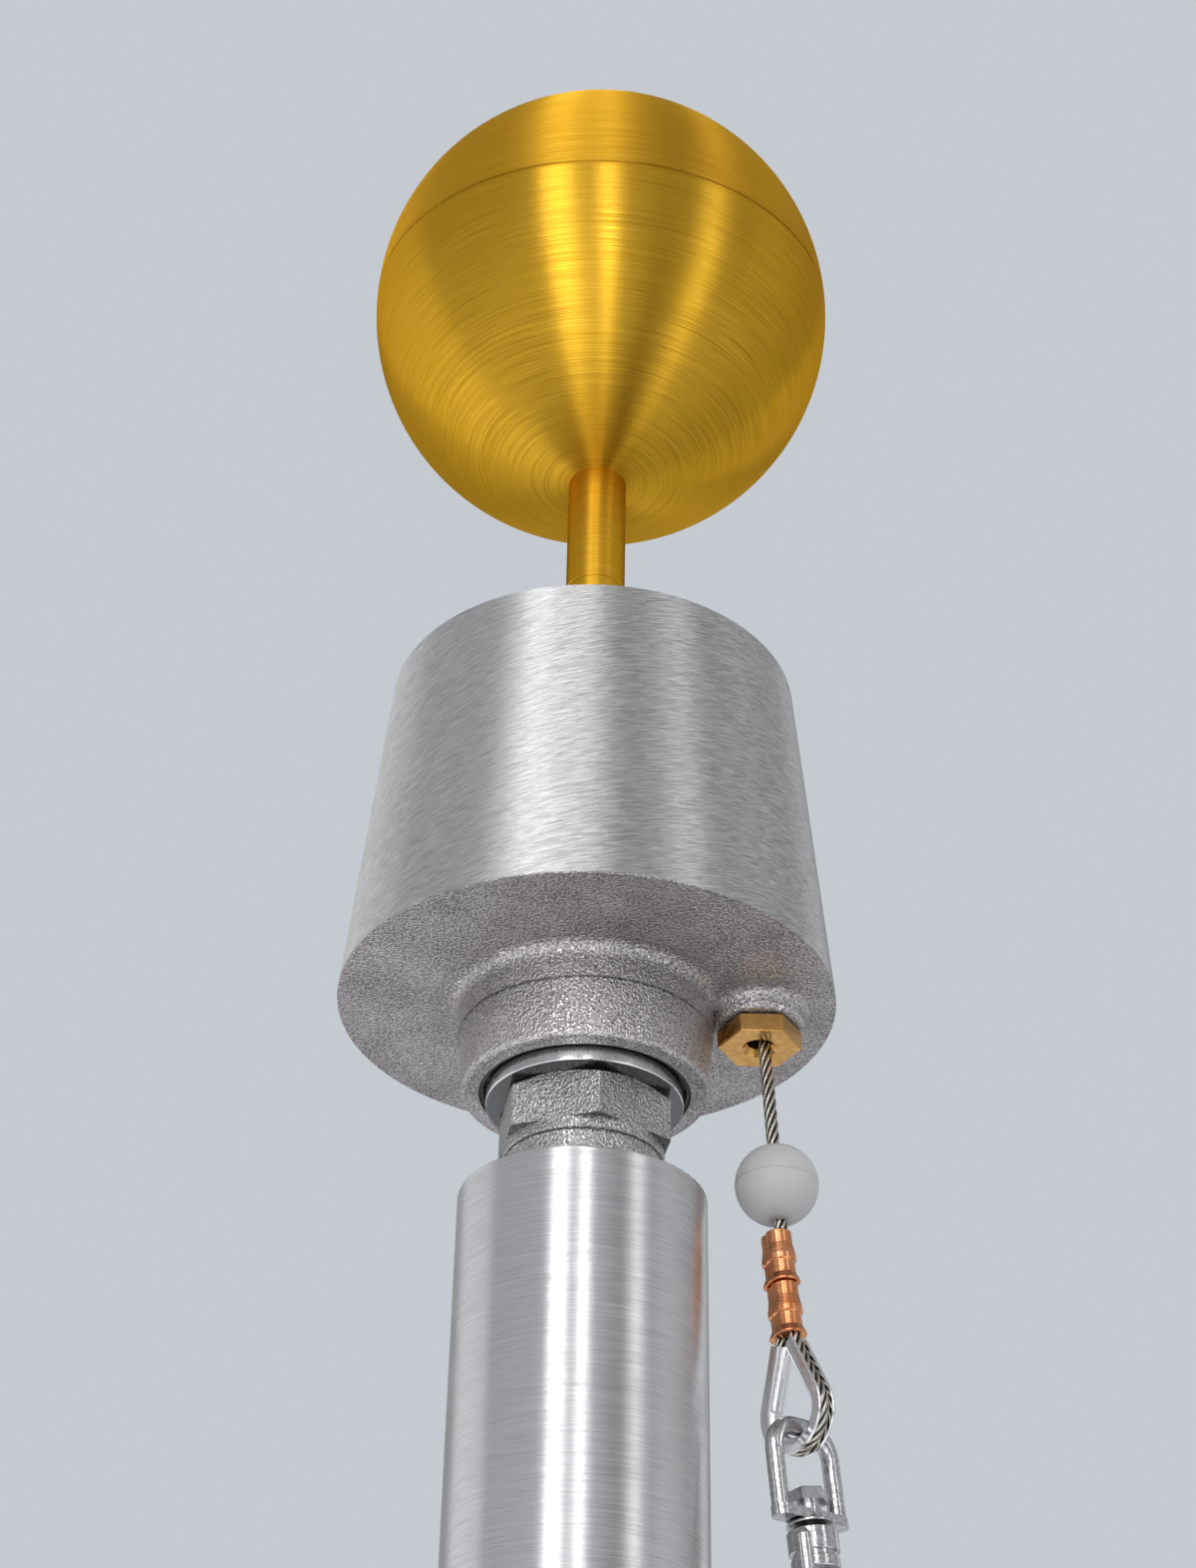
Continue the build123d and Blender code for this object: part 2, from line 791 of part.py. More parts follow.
# Swivel bow, in the plane across the thimble
bow_top_drop = eye_center_drop + inner_radius - bow_bar_radius - bow_play
half_spacing = bow_spacing / 2
head_drop = bow_base_drop - bow_boss_height
with BuildPart() as swivel_bow:
    with BuildLine() as bow_line:
        FilletPolyline(
            eye_point(0, bow_base_drop + bow_base_thickness / 2, -half_spacing),
            eye_point(0, bow_top_drop, -half_spacing),
            eye_point(0, bow_top_drop, half_spacing),
            eye_point(0, bow_base_drop + bow_base_thickness / 2, half_spacing),
            radius=bow_corner_radius,
        )
    with BuildSketch(Plane(bow_line.wire() @ 0, z_dir=bow_line.wire() % 0)):
        Circle(bow_bar_radius)
    sweep(path=bow_line.wire())
    with BuildSketch(Plane(eye_point(0, bow_base_drop), x_dir=eye_normal, z_dir=eye_axis)):
        SlotOverall(bow_spacing + bow_base_overhang, bow_base_width)
    extrude(amount=-bow_base_thickness)
    with BuildSketch(Plane(eye_point(0, 0), x_dir=eye_normal, z_dir=eye_side)):
        with BuildLine():
            FilletPolyline(
                (0, -head_drop),
                (bow_boss_radius, -head_drop),
                (bow_boss_radius, bow_rim_height - bow_rim_drop),
                (bow_rim_radius, bow_rim_height - bow_rim_drop),
                (bow_rim_radius, -bow_rim_drop),
                (0, -bow_rim_drop),
                radius=[0, 0, bow_flare_radius, bow_rim_edge, bow_rim_edge, 0],
                close=True,
            )
        make_face()
    revolve(axis=Axis(eye_point(0, 0), eye_axis))
    with BuildSketch(Plane(eye_point(0, head_drop), x_dir=eye_normal, z_dir=eye_axis)):
        Circle(pin_radius + run_gap)
    extrude(amount=head_drop - bow_rim_drop, mode=Mode.SUBTRACT)

# Swivel pin: a hexagon head above the bow's boss, riveted into the snap's collar
snap_top = bow_rim_drop + snap_gap
with BuildPart() as swivel_pin:
    with BuildSketch(Plane(eye_point(0, head_drop), x_dir=eye_side, z_dir=eye_axis)):
        RegularPolygon(radius=pin_head_flats / 2, side_count=6, major_radius=False)
    extrude(amount=pin_head_height)
    chamfer(swivel_pin.edges().group_by(Axis(eye_point(0, 0), eye_axis))[-1], length=pin_head_edge)
    with BuildSketch(Plane(eye_point(0, head_drop), x_dir=eye_side, z_dir=eye_axis)):
        Circle(pin_radius)
    extrude(amount=head_drop - snap_top)

# Directions of the snap, which turns about the halyard
snap_side = turned_out(snap_turn)
snap_normal = turned_out(snap_turn + 90)


def snap_point(along, drop, across=0.0):
    """Point in the snap's frame: towards the gate, down from the collar's top, across."""
    return eye_point(0, snap_top + drop) + snap_side * along + snap_normal * across


def snap_plane(along, drop, across):
    """Sketch plane across the snap's pins, with Y up the halyard."""
    return Plane(snap_point(along, drop, across), x_dir=snap_side, z_dir=-snap_normal)


# Snap hook: collar, round spine, hook, and ears on both sides of the gate's slot
body_drop = snap_collar_height + snap_groove_height + snap_ring_height
groove_floor = snap_collar_radius - snap_groove_depth
nose_drop = spine_end_drop - hook_nose_rise
with BuildPart() as snap_hook:
    with BuildSketch(snap_plane(0, 0, 0)):
        with BuildLine():
            FilletPolyline(
                (0, 0),
                (snap_neck_radius, 0),
                (snap_collar_radius, -snap_shoulder_height),
                (snap_collar_radius, -snap_collar_height),
                (groove_floor, -snap_collar_height),
                (groove_floor, -snap_collar_height - snap_groove_height),
                (snap_ring_radius, -snap_collar_height - snap_groove_height),
                (snap_ring_radius, -body_drop),
                (0, -body_drop),
                radius=[
                    0,
                    0,
                    snap_body_round,
                    snap_body_round,
                    0,
                    0,
                    snap_body_round,
                    snap_body_round,
                    0,
                ],
                close=True,
            )
        make_face()
    revolve(axis=Axis(snap_point(0, 0), eye_axis))
    spine_root = snap_point(-spine_offset, spine_root_drop)
    with BuildSketch(Plane(spine_root, x_dir=snap_side, z_dir=eye_axis)):
        Circle(spine_radius)
    extrude(amount=spine_root_drop - body_drop)
    with Locations(Plane(spine_root, x_dir=snap_side, z_dir=eye_axis)):
        Sphere(spine_radius)
    with BuildLine() as spine_line:
        bend = snap_point(-hook_radius, spine_end_drop)
        nose = snap_point(hook_radius, spine_end_drop)
        FilletPolyline(
            snap_point(-spine_offset, body_drop),
            snap_point(-spine_offset, spine_straight_drop),
            snap_point(-hook_radius, spine_bend_drop),
            bend,
            radius=spine_bend_radius,
        )
        ThreePointArc(bend, snap_point(0, spine_end_drop + hook_radius), nose)
        Line(nose, snap_point(hook_radius, nose_drop))
    with BuildSketch(Plane(spine_line.wire() @ 0, z_dir=spine_line.wire() % 0)):
        Circle(spine_radius)
    sweep(path=spine_line.wire())
    with BuildSketch(snap_plane(0, 0, ear_width / 2)):
        with Locations((gate_pivot_offset, -gate_pivot_drop)):
            Circle(ear_radius)
        with Locations((gate_pivot_offset, -body_drop)):
            Rectangle(2 * ear_radius, gate_pivot_drop - body_drop, align=(Align.CENTER, Align.MAX))
    extrude(amount=ear_width)
    with BuildSketch(snap_plane(0, 0, gate_slot / 2)):
        with Locations((gate_pivot_offset - ear_radius, ear_radius - gate_pivot_drop)):
            Rectangle(3 * ear_radius, 3 * ear_radius, align=(Align.MIN, Align.MAX))
    extrude(amount=gate_slot, mode=Mode.SUBTRACT)
    with BuildSketch(snap_plane(gate_pivot_offset, gate_pivot_drop, ear_width)):
        Circle(gate_pin_radius + fit_gap)
    extrude(amount=2 * ear_width, mode=Mode.SUBTRACT)

# Gate pin
with BuildPart() as gate_pin:
    with BuildSketch(snap_plane(gate_pivot_offset, gate_pivot_drop, ear_width / 2)):
        Circle(gate_pin_radius)
    extrude(amount=ear_width)

# Gate: a round head on the pin, tapering to the hook's nose, its end an arc about the pin
gate_reach = nose_drop - gate_pivot_drop
with BuildPart() as snap_gate:
    with BuildSketch(snap_plane(gate_pivot_offset, gate_pivot_drop, gate_thickness / 2)) as gate_face:
        Circle(gate_head_radius)
        with Locations((hook_radius - gate_pivot_offset, -gate_reach)):
            Circle(gate_tip_radius)
        make_hull()
        Circle(gate_reach - gate_nose_gap, mode=Mode.INTERSECT)
        fillet(gate_face.vertices().sort_by(Axis.Y)[:2], radius=gate_corner)
    extrude(amount=gate_thickness)
    flat_faces = snap_gate.faces().sort_by(Axis(snap_point(0, 0), snap_normal))
    fillet(flat_faces[0].edges() + flat_faces[-1].edges(), radius=gate_edge)
    with BuildSketch(snap_plane(gate_pivot_offset, gate_pivot_drop, gate_thickness)):
        Circle(gate_pin_radius + gate_pin_play)
    extrude(amount=2 * gate_thickness, mode=Mode.SUBTRACT)

# Every piece with its name
pieces = {
    "pole_tube": pole_tube,
    "pole_plug": pole_plug,
    "spindle": spindle,
    "thrust_ring": thrust_ring,
    "spindle_nut": spindle_nut,
    "lower_bearing": lower_bearing,
    "upper_bearing": upper_bearing,
    "neck_seal": neck_seal,
    "truck_housing": truck_housing,
    "top_cover": top_cover,
    "cover_screws": cover_screws,
    "outlet_gasket": outlet_gasket,
    "halyard_outlet": halyard_outlet,
    "finial_rod": finial_rod,
    "finial_stem": finial_stem,
    "ball_lower": ball_lower,
    "ball_upper": ball_upper,
    "halyard_rope": halyard_rope,
    "stop_ball": stop_ball,
    "upper_sleeve": sleeves["upper_sleeve"],
    "lower_sleeve": sleeves["lower_sleeve"],
    "thimble": thimble,
    "swivel_bow": swivel_bow,
    "swivel_pin": swivel_pin,
    "snap_hook": snap_hook,
    "gate_pin": gate_pin,
    "snap_gate": snap_gate,
}
for piece_name, piece in pieces.items():
    piece.part.label = piece_name
    export_step(piece.part, f"parts/{piece_name}.step")
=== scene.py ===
import bmesh
import bpy
import math
from mathutils import Matrix, Vector


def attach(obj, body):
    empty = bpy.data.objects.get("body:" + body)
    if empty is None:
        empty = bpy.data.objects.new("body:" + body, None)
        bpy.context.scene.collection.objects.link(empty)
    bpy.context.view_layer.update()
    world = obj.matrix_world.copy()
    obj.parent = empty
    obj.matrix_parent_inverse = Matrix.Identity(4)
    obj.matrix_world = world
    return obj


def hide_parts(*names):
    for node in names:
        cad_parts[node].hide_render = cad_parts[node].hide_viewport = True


# Looks of a flagpole's head: a brushed pole, a cast truck with a brushed drum, a gilt
# ball and a wire halyard with its thimble, swivel and snap. Metres, in the CAD's frame.

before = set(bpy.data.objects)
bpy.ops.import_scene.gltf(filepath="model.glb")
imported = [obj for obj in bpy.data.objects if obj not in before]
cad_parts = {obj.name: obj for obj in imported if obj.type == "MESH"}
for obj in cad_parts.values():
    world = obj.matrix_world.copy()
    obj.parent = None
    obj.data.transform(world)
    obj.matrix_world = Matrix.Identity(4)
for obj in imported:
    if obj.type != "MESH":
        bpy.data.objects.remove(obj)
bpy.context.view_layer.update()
MM = 0.001


# Shapes: meshes, lathes and tubes

SAME_POINT = 1e-7
SHARP_ANGLE = 35.0
TUBE_SHARP_ANGLE = 60.0


def mesh_object(name, points, faces, sharp=SHARP_ANGLE):
    """Object from points and faces, shaded smooth with sharp edges kept."""
    mesh = bpy.data.meshes.new(name)
    mesh.from_pydata([tuple(p) for p in points], [], faces)
    mesh.validate()
    obj = bpy.data.objects.new(name, mesh)
    bpy.context.scene.collection.objects.link(obj)
    bm = bmesh.new()
    bm.from_mesh(mesh)
    bmesh.ops.remove_doubles(bm, verts=bm.verts, dist=SAME_POINT)
    bmesh.ops.recalc_face_normals(bm, faces=bm.faces)
    for face in bm.faces:
        face.smooth = True
    for edge in bm.edges:
        if len(edge.link_faces) == 2:
            edge.smooth = edge.calc_face_angle(0.0) < math.radians(sharp)
    bm.to_mesh(mesh)
    bm.free()
    return obj


def lathe(name, outline, sides, where):
    """Closed outline of (radius, height) turned about its own Z, then put in place."""
    points = []
    for k in range(sides):
        angle = 2 * math.pi * k / sides
        for radius, height in outline:
            spoke = Vector((radius * math.cos(angle), radius * math.sin(angle), height))
            points.append(where @ spoke)
    rows = len(outline)
    faces = []
    for k in range(sides):
        n = (k + 1) % sides
        for i in range(rows):
            j = (i + 1) % rows
            faces.append((k * rows + i, n * rows + i, n * rows + j, k * rows + j))
    return mesh_object(name, points, faces)


def skin(name, rings):
    """Tube through rings of points, closed at both ends."""
    count = len(rings[0])
    points = [p for ring in rings for p in ring]
    faces = []
    for i in range(len(rings) - 1):
        for k in range(count):
            n = (k + 1) % count
            faces.append((i * count + k, i * count + n, (i + 1) * count + n, (i + 1) * count + k))
    faces.append(tuple(range(count)))
    faces.append(tuple((len(rings) - 1) * count + k for k in range(count)))
    return mesh_object(name, points, faces, TUBE_SHARP_ANGLE)


# Shader nodes

def material(name, color, metallic=0.0, roughness=0.5):
    """Material with its shader's plain values, and a handle to its nodes."""
    mat = bpy.data.materials.new(name)
    mat.use_nodes = True
    shader = mat.node_tree.nodes["Principled BSDF"]
    shader.inputs["Base Color"].default_value = (*color, 1)
    shader.inputs["Metallic"].default_value = metallic
    shader.inputs["Roughness"].default_value = roughness
    return mat, mat.node_tree, shader


def link(tree, source, target):
    """Link of two sockets."""
    tree.links.new(source, target)


def stretched(tree, vector, scale):
    """Vector with its parts scaled."""
    node = tree.nodes.new("ShaderNodeMapping")
    node.inputs["Scale"].default_value = scale
    link(tree, vector, node.inputs["Vector"])
    return node.outputs["Vector"]


def position(tree, scale=(1, 1, 1)):
    """Position on the piece, stretched."""
    where = tree.nodes.new("ShaderNodeTexCoord")
    return stretched(tree, where.outputs["Object"], scale)


def split(tree, vector):
    """The X, Y and Z of a vector."""
    node = tree.nodes.new("ShaderNodeSeparateXYZ")
    link(tree, vector, node.inputs[0])
    return node.outputs


def joined(tree, x, y, z):
    """Vector of three values."""
    node = tree.nodes.new("ShaderNodeCombineXYZ")
    for socket, value in zip(node.inputs, (x, y, z)):
        link(tree, value, socket)
    return node.outputs[0]


def noise(tree, vector, scale=1.0, detail=3.0, rough=0.5, warp=0.0):
    """Noise value at a position."""
    node = tree.nodes.new("ShaderNodeTexNoise")
    node.inputs["Scale"].default_value = scale
    node.inputs["Detail"].default_value = detail
    node.inputs["Roughness"].default_value = rough
    node.inputs["Distortion"].default_value = warp
    link(tree, vector, node.inputs["Vector"])
    return node.outputs["Fac"]


def between(tree, value, low, high, to_low=0.0, to_high=1.0):
    """Value spread from one range to another, held at its ends."""
    node = tree.nodes.new("ShaderNodeMapRange")
    node.inputs["From Min"].default_value = low
    node.inputs["From Max"].default_value = high
    node.inputs["To Min"].default_value = to_low
    node.inputs["To Max"].default_value = to_high
    link(tree, value, node.inputs["Value"])
    return node.outputs["Result"]


def tint(tree, value, dark, light):
    """Colour between two by a value."""
    node = tree.nodes.new("ShaderNodeMix")
    node.data_type = "RGBA"
    node.inputs[6].default_value = (*dark, 1)
    node.inputs[7].default_value = (*light, 1)
    link(tree, value, node.inputs[0])
    return node.outputs[2]


def math_node(tree, operation, *values):
    """Sum, product or the like of values or sockets."""
    node = tree.nodes.new("ShaderNodeMath")
    node.operation = operation
    for i, value in enumerate(values):
        if isinstance(value, (int, float)):
            node.inputs[i].default_value = value
        else:
            link(tree, value, node.inputs[i])
    return node.outputs[0]


def bump(tree, height, depth, under=None):
    """Bump of a height value, its depth in metres, over another bump."""
    node = tree.nodes.new("ShaderNodeBump")
    node.inputs["Strength"].default_value = 1.0
    node.inputs["Distance"].default_value = depth
    link(tree, height, node.inputs["Height"])
    if under is not None:
        link(tree, under, node.inputs["Normal"])
    return node.outputs["Normal"]


def distance_from(tree, height, level):
    """How far a height is from a level, either way."""
    return math_node(tree, "ABSOLUTE", math_node(tree, "SUBTRACT", height, level))


def helix(tree, slant):
    """Position on the piece, its height sheared round the Z axis as slanted brushing runs."""
    x, y, z = split(tree, position(tree))
    angle = math_node(tree, "ARCTAN2", x, math_node(tree, "MULTIPLY", y, -1.0))
    height = math_node(tree, "SUBTRACT", z, math_node(tree, "MULTIPLY", angle, slant))
    return joined(tree, x, y, height)


def meridian(tree, center, radius):
    """Position on a ball with its height as a length along the meridian."""
    x, y, z = split(tree, position(tree))
    share = math_node(tree, "DIVIDE", math_node(tree, "SUBTRACT", z, center), radius)
    arc = math_node(tree, "MULTIPLY", math_node(tree, "ARCCOSINE", share), radius)
    return joined(tree, x, y, arc)


LOOKS_DOWN = -0.95
LOOKS_ASIDE = -0.7


def facing_down(tree):
    """1 on faces that look down, fading to 0 on those that look aside."""
    geometry = tree.nodes.new("ShaderNodeNewGeometry")
    slope = split(tree, geometry.outputs["Normal"])["Z"]
    return between(tree, slope, LOOKS_DOWN, LOOKS_ASIDE, 1.0, 0.0)


# Kinds of surface

NOISE_BAND = (0.3, 0.7)
CLOUD_BAND = (0.35, 0.65)


def vary_gloss(tree, shader, value, first, last):
    """Roughness that follows a noise."""
    link(tree, between(tree, value, *NOISE_BAND, first, last), shader.inputs["Roughness"])


def vary_color(tree, shader, value, dark, light):
    """Base colour that follows a value."""
    link(tree, tint(tree, value, dark, light), shader.inputs["Base Color"])


def add_relief(tree, shader, value, depth):
    """Bump that follows a value."""
    link(tree, bump(tree, value, depth), shader.inputs["Normal"])


SCRATCH_DETAIL = 4.0
SCRATCH_ROUGHNESS = 0.65
SCRATCH_DULL = 1.25
SCRATCH_BRIGHT = 0.8
PATCH_STRETCH = (12, 12, 30)
PATCH_DETAIL = 2.0
PATCH_GLOSS = (-0.02, 0.03)
ROUND_THE_AXIS = 0.25


def brushed(
    name, dark, light, roughness, aniso, around, along, depth,
    warp=0.0, run=position, slant=0.0,
):
    """Metal brushed round the Z axis: fine scratches in colour, gloss and relief."""
    mat, tree, shader = material(name, light, 1.0, roughness)
    shader.inputs["Anisotropic"].default_value = aniso
    shader.inputs["Anisotropic Rotation"].default_value = ROUND_THE_AXIS + slant / (2 * math.pi)
    turn = tree.nodes.new("ShaderNodeTangent")
    turn.direction_type = "RADIAL"
    turn.axis = "Z"
    link(tree, turn.outputs[0], shader.inputs["Tangent"])
    where = stretched(tree, run(tree), (around, around, along))
    fine = noise(tree, where, 1.0, SCRATCH_DETAIL, SCRATCH_ROUGHNESS, warp)
    broad = noise(tree, position(tree, PATCH_STRETCH), 1.0, PATCH_DETAIL)
    vary_color(tree, shader, between(tree, fine, *NOISE_BAND), dark, light)
    dull, bright = roughness * SCRATCH_DULL, roughness * SCRATCH_BRIGHT
    streak = between(tree, fine, *NOISE_BAND, dull, bright)
    patch = between(tree, broad, *NOISE_BAND, *PATCH_GLOSS)
    link(tree, math_node(tree, "ADD", streak, patch), shader.inputs["Roughness"])
    add_relief(tree, shader, fine, depth)
    return mat, tree, shader


GRAIN_SCALE = 1050
GRAIN_BAND = (0.36, 0.64)
GRAIN_SHARE = 0.5
GRAIN_DULL = 0.1
GRAIN_BRIGHT = 0.08
GRAIN_DEPTH = 0.00026
PIT_SCALE = 800
PIT_BAND = (0.66, 0.72)
PIT_SHARE = 0.5
PIT_DEPTH = -0.0002
MOTTLE_SCALE = 40
MOTTLE_ROUGHNESS = 0.6
MOTTLE_SHARE = 0.6
MOTTLE_DEPTH = 0.0006


def sand_cast(tree, shader, dark, light, gloss, soil_and_shade):
    """Sand-cast metal: sharp grain, dark pits, a slow mottle, and the darkening it is given,
    which is painted shade under the piece and a dark parting line.
    """
    where = position(tree)
    grain = between(tree, noise(tree, where, GRAIN_SCALE, 1.0), *GRAIN_BAND)
    pits = between(tree, noise(tree, where, PIT_SCALE, 1.0), *PIT_BAND)
    mottle = noise(tree, where, MOTTLE_SCALE, rough=MOTTLE_ROUGHNESS)
    shade = math_node(
        tree, "ADD",
        math_node(tree, "MULTIPLY", grain, GRAIN_SHARE),
        math_node(tree, "MULTIPLY", mottle, MOTTLE_SHARE),
    )
    # Pits darken the colour, and so does the painted shade that is given.
    dirt_and_shade = math_node(tree, "MAXIMUM", math_node(tree, "MULTIPLY", pits, PIT_SHARE), soil_and_shade)
    vary_color(tree, shader, math_node(tree, "SUBTRACT", shade, dirt_and_shade), dark, light)
    dull, bright = gloss + GRAIN_DULL, gloss - GRAIN_BRIGHT
    link(tree, between(tree, grain, 0.0, 1.0, dull, bright), shader.inputs["Roughness"])
    relief = bump(tree, grain, GRAIN_DEPTH)
    relief = bump(tree, pits, PIT_DEPTH, relief)
    link(tree, bump(tree, mottle, MOTTLE_DEPTH, relief), shader.inputs["Normal"])


def clouded(name, color, metallic, roughness, scale, gloss, tones=None, rough=0.5, depth=None):
    """Material whose gloss follows one noise, and its colour and relief where given."""
    mat, tree, shader = material(name, color, metallic, roughness)
    cloud = noise(tree, position(tree), scale, rough=rough)
    vary_gloss(tree, shader, cloud, *gloss)
    if tones is not None:
        vary_color(tree, shader, between(tree, cloud, *CLOUD_BAND), *tones)
    if depth is not None:
        add_relief(tree, shader, cloud, depth)
    return mat


def glowing(name, color):
    """Black surface that only shines."""
    mat, _, shader = material(name, (0.0, 0.0, 0.0), roughness=1.0)
    shader.inputs["Emission Color"].default_value = (*color, 1)
    shader.inputs["Emission Strength"].default_value = 1.0
    return mat


# Camera, at the photograph's place and angle

CAMERA_PLACE = Vector((0.0, -0.8349, 0.0855))
CAMERA_YAW = math.radians(0.185)
CAMERA_PITCH = math.radians(35.597)
CAMERA_ROLL = math.radians(1.091)
PHOTO_HEIGHT = 1573
FOCAL_PIXELS = 2600
SENSOR = 36.0
NEAREST = 0.01
FARTHEST = 100.0


def add_camera():
    """Camera from its place, its three angles and its focal length in pixels."""
    ahead = Vector((
        math.sin(CAMERA_YAW) * math.cos(CAMERA_PITCH),
        math.cos(CAMERA_YAW) * math.cos(CAMERA_PITCH),
        math.sin(CAMERA_PITCH),
    ))
    level = Vector((math.cos(CAMERA_YAW), -math.sin(CAMERA_YAW), 0.0))
    above = level.cross(ahead)
    right = level * math.cos(CAMERA_ROLL) + above * math.sin(CAMERA_ROLL)
    up = above * math.cos(CAMERA_ROLL) - level * math.sin(CAMERA_ROLL)
    turn = Matrix((right, up, -ahead)).transposed().to_4x4()
    data = bpy.data.cameras.new("camera")
    data.sensor_fit = "VERTICAL"
    data.sensor_height = SENSOR
    data.lens = SENSOR * FOCAL_PIXELS / PHOTO_HEIGHT
    data.clip_start = NEAREST
    data.clip_end = FARTHEST
    camera = bpy.data.objects.new("camera", data)
    camera.matrix_world = Matrix.Translation(CAMERA_PLACE) @ turn
    bpy.context.scene.collection.objects.link(camera)
    bpy.context.scene.camera = camera


# World and floor

AIR_COLOR = (0.96, 0.98, 1.0, 1)
AIR_STRENGTH = 0.75
BACKDROP_COLOR = (0.56, 0.59, 0.63, 1)
SCREEN_RADIUS = 3.4
SCREEN_HEIGHT = 6.0
FLOOR_SIDES = 160
FLOOR_MARGIN = 0.02
FLOOR_COLOR = (0.8, 0.82, 0.84)
FLOOR_ROUGHNESS = 0.8
FLOOR_GLOW_COLOR = (0.8, 0.81, 0.83, 1)
FLOOR_GLOW = 0.25


def shown(tree):
    """1 for camera, mirror and glass rays, else 0."""
    rays = tree.nodes.new("ShaderNodeLightPath")
    camera, mirror = rays.outputs["Is Camera Ray"], rays.outputs["Is Glossy Ray"]
    seen = math_node(tree, "MAXIMUM", camera, mirror)
    return math_node(tree, "MAXIMUM", seen, rays.outputs["Is Transmission Ray"])


def add_world():
    """Surroundings: a pale backdrop where seen or mirrored, soft white light elsewhere."""
    world = bpy.data.worlds.new("studio")
    bpy.context.scene.world = world
    world.use_nodes = True
    tree = world.node_tree
    air = tree.nodes["Background"]
    air.inputs["Color"].default_value = AIR_COLOR
    air.inputs["Strength"].default_value = AIR_STRENGTH
    backdrop = tree.nodes.new("ShaderNodeBackground")
    backdrop.inputs["Color"].default_value = BACKDROP_COLOR
    mix = tree.nodes.new("ShaderNodeMixShader")
    link(tree, shown(tree), mix.inputs[0])
    link(tree, air.outputs[0], mix.inputs[1])
    link(tree, backdrop.outputs[0], mix.inputs[2])
    link(tree, mix.outputs[0], tree.nodes["World Output"].inputs["Surface"])


def add_floor():
    """Pale floor under the stub, inside the screens."""
    bpy.ops.mesh.primitive_circle_add(
        vertices=FLOOR_SIDES, radius=SCREEN_RADIUS - FLOOR_MARGIN, fill_type="NGON",
    )
    floor = bpy.context.object
    floor.name = "floor"
    mat, tree, shader = material("floor", FLOOR_COLOR, roughness=FLOOR_ROUGHNESS)
    shader.inputs["Specular IOR Level"].default_value = 0.0
    shader.inputs["Emission Color"].default_value = FLOOR_GLOW_COLOR
    glow = math_node(tree, "MULTIPLY", shown(tree), FLOOR_GLOW)
    link(tree, glow, shader.inputs["Emission Strength"])
    floor.data.materials.append(mat)


# Screens and cards that the metal mirrors. Angles are degrees right of the camera's side

# Screens: first and last angle, lowest and highest height, glow
SCREENS = (
    (-180, -140, 0.0, 2.4, 0.24),
    (-180, -140, 2.4, SCREEN_HEIGHT, 0.1),
    (-140, -130, 0.0, SCREEN_HEIGHT, 0.3),
    (-130, -85, 0.0, 2.3, 0.85),
    (-130, -85, 2.3, SCREEN_HEIGHT, 0.38),
    (-85, 15, 0.0, SCREEN_HEIGHT, 0.4),
    (15, 35, 0.0, SCREEN_HEIGHT, 0.5),
    (35, 60, 0.0, SCREEN_HEIGHT, 0.4),
    (60, 70, 0.0, SCREEN_HEIGHT, 0.34),
    (70, 100, 0.0, 2.3, 0.54),
    (70, 100, 2.3, SCREEN_HEIGHT, 0.46),
    (100, 120, 0.0, SCREEN_HEIGHT, 0.44),
    (120, 145, 0.0, 2.3, 0.8),
    (120, 145, 2.3, SCREEN_HEIGHT, 0.34),
    (145, 180, 0.0, 2.4, 0.24),
    (145, 180, 2.4, SCREEN_HEIGHT, 0.1),
)
SCREEN_STEP = 5
SCREEN_BLUE = 1.03

# Cards just over the floor: name, first and last angle, inner and outer radius, glow
CARDS = (
    ("dark_card", 24, 44, 0.12, 3.2, 0.12),
    ("pale_card_foot", 50, 374, 0.1, 0.5, 1.3),
    ("pale_card_left", -160, -95, 0.5, 2.4, 1.1),
    ("pale_card_right", 95, 160, 0.5, 2.4, 0.42),
)
CARD_HEIGHT = 0.015
CARD_STEPS = 24
CEILING_HALF = 4.0
CEILING_GLOW = 0.22


def round_point(azimuth, radius, height):
    """Point at an angle right of the camera's side, in degrees, a radius and a height."""
    turn = math.radians(azimuth)
    return radius * math.sin(turn), -radius * math.cos(turn), height


def sector(start, end, inner, outer):
    """Corners of a floor patch between two angles and two radii."""
    corners = []
    for radius, first, last in ((inner, start, end), (outer, end, start)):
        for k in range(CARD_STEPS + 1):
            azimuth = first + (last - first) * k / CARD_STEPS
            corners.append(round_point(azimuth, radius, CARD_HEIGHT))
    return corners


def add_card(name, corners, glow):
    """Flat card that only the metal's mirroring sees."""
    card = mesh_object(name, corners, [tuple(range(len(corners)))])
    card.data.materials.append(glowing(name, (glow, glow, glow)))
    card.visible_camera = False
    card.visible_diffuse = False
    card.visible_shadow = False
    card.visible_transmission = False


def add_screens():
    """Grey studio screens round the stage, a grey ceiling and the cards."""
    for start, end, low, high, glow in SCREENS:
        steps = (end - start) // SCREEN_STEP
        points = []
        for height in (low, high):
            for k in range(steps + 1):
                points.append(round_point(start + SCREEN_STEP * k, SCREEN_RADIUS, height))
        faces = [(k, k + 1, steps + k + 2, steps + k + 1) for k in range(steps)]
        screen = mesh_object("grey_screen", points, faces)
        screen.data.materials.append(glowing("grey_screen", (glow, glow, glow * SCREEN_BLUE)))
        screen.visible_camera = False
    corners = ((-1, -1), (1, -1), (1, 1), (-1, 1))
    ceiling = [(CEILING_HALF * x, CEILING_HALF * y, SCREEN_HEIGHT) for x, y in corners]
    add_card("grey_ceiling", ceiling, CEILING_GLOW)
    for name, start, end, inner, outer, glow in CARDS:
        add_card(name, sector(start, end, inner, outer), glow)


# Lamps: name, angle right of the camera's side in degrees, width and power

